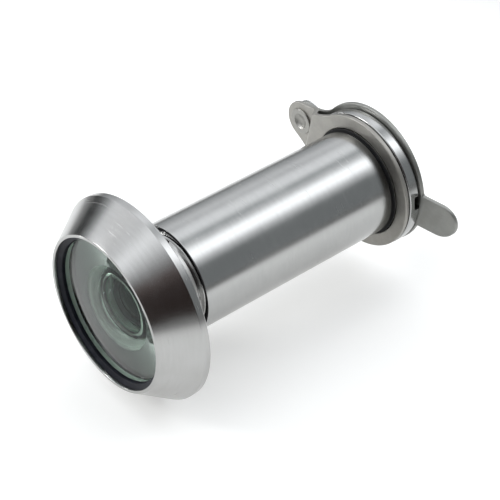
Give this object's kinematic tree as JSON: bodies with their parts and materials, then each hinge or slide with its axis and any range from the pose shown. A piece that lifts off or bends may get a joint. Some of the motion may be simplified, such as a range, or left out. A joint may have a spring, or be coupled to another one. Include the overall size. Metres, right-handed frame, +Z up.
{
  "type": "door viewer",
  "caption": "Door viewer with a conical bezel, wide-angle lens stack, screw-on barrel and a round cover plate that swings on a rivet over the eyepiece.",
  "frame": {"origin": "on the viewer's axis, in the bezel's flat back face, which seats on the outside of the door", "axes": "+Y along the viewer's axis from the street side to the room side, +Z up, +X to the right seen from the street"},
  "size_m": [0.0288, 0.0445, 0.0264],
  "materials": {
    "bezel_metal": "satin",
    "barrel_metal": "satin",
    "plate_metal": "satin nickel plate",
    "rivet_metal": "satin",
    "spring_steel": "bright",
    "black_rubber": "matt",
    "black_plastic": "matt",
    "optical_glass": "polished"
  },
  "bodies": {
    "housing": {"objective_housing": "bezel_metal", "objective_seal": "black_rubber", "objective_lens": "optical_glass", "aperture_ring": "black_plastic", "second_lens": "optical_glass", "middle_spacer": "black_plastic", "third_lens": "optical_glass", "lens_retaining_ring": "black_plastic", "baffle_tube": "black_plastic"},
    "washer": {"friction_washer": "spring_steel"},
    "barrel": {"barrel": "barrel_metal", "eyepiece_cushion": "black_rubber", "eyepiece_lens": "optical_glass", "eyepiece_retaining_ring": "black_plastic"},
    "plate": {"pivot_plate": "plate_metal", "cover_rivet": "rivet_metal", "rivet_bush": "rivet_metal", "rivet_spring_washer": "spring_steel"},
    "cover": {"cover_plate": "plate_metal"}
  },
  "joints": [
    {"name": "barrel_travel", "type": "slide", "parent": "housing", "child": "washer", "axis": [0, 1, 0], "range_m": [-0.00121, 0.02561]},
    {"name": "barrel_turn", "type": "hinge", "parent": "washer", "child": "barrel", "pos_m": [0, 0.02, 0], "axis": [0, 1, 0], "range_deg": [-432, 9216]},
    {"name": "plate_swivel", "type": "hinge", "parent": "washer", "child": "plate", "pos_m": [0, 0.0347, 0], "axis": [0, 1, 0], "continuous": true},
    {"name": "cover_swing", "type": "hinge", "parent": "plate", "child": "cover", "pos_m": [-0.01205, 0.037, 0.00245], "axis": [0, -1, 0], "continuous": true}
  ],
  "couplings": [
    {"joint": "barrel_travel", "follows": "barrel_turn", "m_per_rad": 0.00015915}
  ]
}
